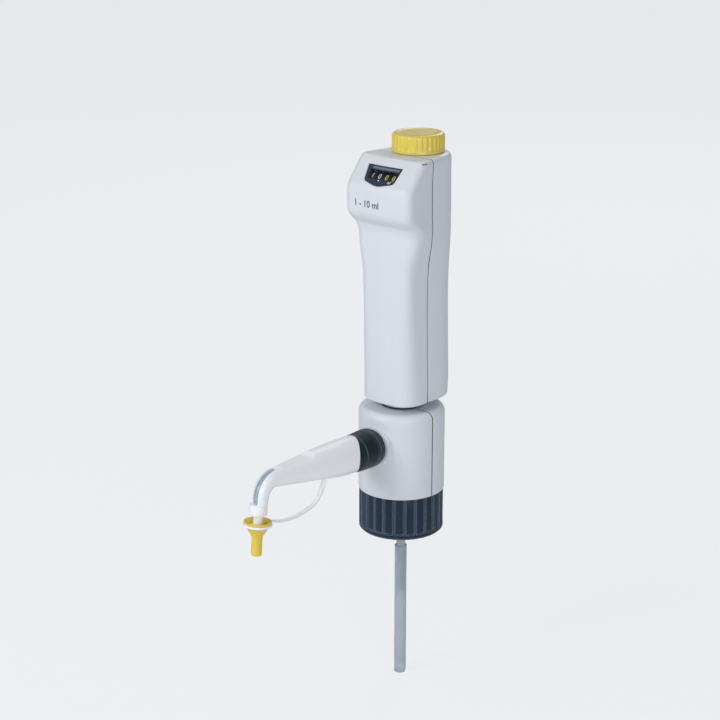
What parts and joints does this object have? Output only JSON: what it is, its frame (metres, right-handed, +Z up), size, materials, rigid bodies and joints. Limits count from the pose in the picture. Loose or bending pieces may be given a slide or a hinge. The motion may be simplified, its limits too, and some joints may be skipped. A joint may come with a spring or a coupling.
{
  "type": "bottle top dispenser",
  "caption": "Piston dispenser that screws onto a reagent bottle: lifting housing with counter window and yellow volume knob, swivelling valve block, bent spout with tethered cap.",
  "frame": {"origin": "on the bottle axis, in the plane of the screw collar's lower rim", "axes": "+Z up along the piston and bottle axis; -Y towards the spout and the display; +X to the instrument's left as seen from the front"},
  "size_m": [0.055, 0.1752, 0.3587],
  "materials": {
    "cover_white": "satin white moulded polypropylene",
    "housing_white": "satin white moulded polypropylene, soft-edged",
    "collar_dark": "dark blue-black moulded polypropylene, satin",
    "knob_yellow": "warm yellow moulded polypropylene, satin",
    "cap_yellow": "warm yellow moulded polypropylene, satin",
    "bezel_navy": "dark navy, glossy",
    "lens_clear": "clear acrylic",
    "wheel_black": "matt black with printed digits",
    "fep_tube": "translucent fluoropolymer",
    "line_blue": "translucent grey-blue fluoropolymer",
    "ptfe_white": "white PTFE",
    "core_grey": "natural grey fluoropolymer",
    "nut_grey": "light grey moulded plastic",
    "seal_black": "black elastomer",
    "glass_clear": "clear borosilicate glass",
    "guard_clear": "translucent sleeve",
    "steel": "turned stainless steel",
    "brass_nut": "machined brass",
    "mount_grey": "glass-filled grey plastic",
    "gear_white": "acetal",
    "ball_ruby": "polished ruby ball",
    "strap_clear": "milky translucent strap"
  },
  "bodies": {
    "collar": {"bottle_collar": "collar_dark"},
    "valve_block": {"front_cover": "cover_white", "rear_cover": "cover_white", "cover_screws": "steel", "valve_core": "core_grey", "retaining_ring": "seal_black", "seal_washer": "ptfe_white", "filling_valve": "core_grey", "discharge_valve": "core_grey", "cylinder_nut": "nut_grey", "neck_seal": "seal_black", "glass_cylinder": "glass_clear", "guard_tube": "guard_clear", "stop_plate": "steel", "vent_cap": "cover_white", "spout_sleeve": "collar_dark", "spout": "cover_white", "discharge_tube": "line_blue", "spout_tip": "cover_white", "upper_tube": "fep_tube", "cap_strap": "strap_clear"},
    "lower_tube": {"lower_tube": "fep_tube"},
    "filling_ball": {"filling_ball": "ball_ruby"},
    "discharge_ball": {"discharge_ball": "ball_ruby"},
    "housing": {"front_shell": "housing_white", "rear_shell": "housing_white", "shell_screws": "steel", "display_bezel": "bezel_navy", "display_lens": "lens_clear", "piston": "ptfe_white", "piston_seal": "ptfe_white", "piston_mount": "mount_grey", "gear_plate": "nut_grey", "counter_frame": "nut_grey", "counter_shaft": "steel", "spindle_bush": "mount_grey", "spindle_foot": "mount_grey"},
    "knob": {"volume_knob": "knob_yellow", "spindle": "steel", "spindle_gear": "gear_white"},
    "idler": {"idler_gear": "gear_white"},
    "drive": {"drive_shaft": "gear_white"},
    "nut": {"stop_nut": "brass_nut"},
    "tens": {"digit_wheel_tens": "wheel_black"},
    "units": {"digit_wheel_units": "wheel_black"},
    "tenths": {"digit_wheel_tenths": "wheel_black"},
    "hundredths": {"digit_wheel_hundredths": "wheel_black"},
    "cap": {"nozzle_cap": "cap_yellow", "strap_ring": "cover_white"}
  },
  "joints": [
    {"name": "block_swivel", "type": "hinge", "parent": "collar", "child": "valve_block", "pos_m": [0, 0, 0.0275], "axis": [0, 0, 1], "continuous": true},
    {"name": "housing_lift", "type": "slide", "parent": "valve_block", "child": "housing", "axis": [0, 0, 1], "range_m": [0, 0.05973]},
    {"name": "knob_turn", "type": "hinge", "parent": "housing", "child": "knob", "pos_m": [0, 0.0142, 0.243], "axis": [0, 0, 1], "range_deg": [0, 16200]},
    {"name": "idler_turn", "type": "hinge", "parent": "housing", "child": "idler", "pos_m": [0.00664, -0.00307, 0.201], "axis": [0, 0, 1], "range_deg": [-19059.8, 1]},
    {"name": "drive_turn", "type": "hinge", "parent": "housing", "child": "drive", "pos_m": [0.0165, -0.01229, 0.201], "axis": [0, 0, 1], "range_deg": [0, 32400]},
    {"name": "nut_travel", "type": "slide", "parent": "housing", "child": "nut", "axis": [0, 0, 1], "range_m": [0, 0.05386]},
    {"name": "hundredths_turn", "type": "hinge", "parent": "housing", "child": "hundredths", "pos_m": [0.0081, -0.01229, 0.2266], "axis": [1, 0, 0], "range_deg": [-32400, 0]},
    {"name": "tenths_turn", "type": "hinge", "parent": "housing", "child": "tenths", "pos_m": [0.0027, -0.01229, 0.2266], "axis": [1, 0, 0], "range_deg": [-3240, 0]},
    {"name": "units_turn", "type": "hinge", "parent": "housing", "child": "units", "pos_m": [-0.0027, -0.01229, 0.2266], "axis": [1, 0, 0], "range_deg": [-324, 0]},
    {"name": "tens_turn", "type": "hinge", "parent": "housing", "child": "tens", "pos_m": [-0.0081, -0.01229, 0.2266], "axis": [1, 0, 0], "range_deg": [-32.4, 0]},
    {"name": "cap_pull", "type": "slide", "parent": "valve_block", "child": "cap", "axis": [0, -0.0837, -0.9965], "range_m": [0, 0.02], "deforming": ["cap_strap"]},
    {"name": "tube_extend", "type": "slide", "parent": "valve_block", "child": "lower_tube", "axis": [0, 0, -1], "range_m": [0, 0.025]},
    {"name": "filling_ball_lift", "type": "slide", "parent": "valve_block", "child": "filling_ball", "axis": [0, 0, 1], "range_m": [0, 0.0012]},
    {"name": "discharge_ball_lift", "type": "slide", "parent": "valve_block", "child": "discharge_ball", "axis": [0, -1, 0], "range_m": [0, 0.0012]}
  ],
  "couplings": [
    {"joint": "idler_turn", "follows": "knob_turn", "ratio": -1.1765},
    {"joint": "drive_turn", "follows": "knob_turn", "ratio": 2},
    {"joint": "nut_travel", "follows": "knob_turn", "m_per_rad": 0.00019013},
    {"joint": "hundredths_turn", "follows": "knob_turn", "ratio": -2},
    {"joint": "tenths_turn", "follows": "knob_turn", "ratio": -0.2},
    {"joint": "units_turn", "follows": "knob_turn", "ratio": -0.02},
    {"joint": "tens_turn", "follows": "knob_turn", "ratio": -0.002}
  ]
}
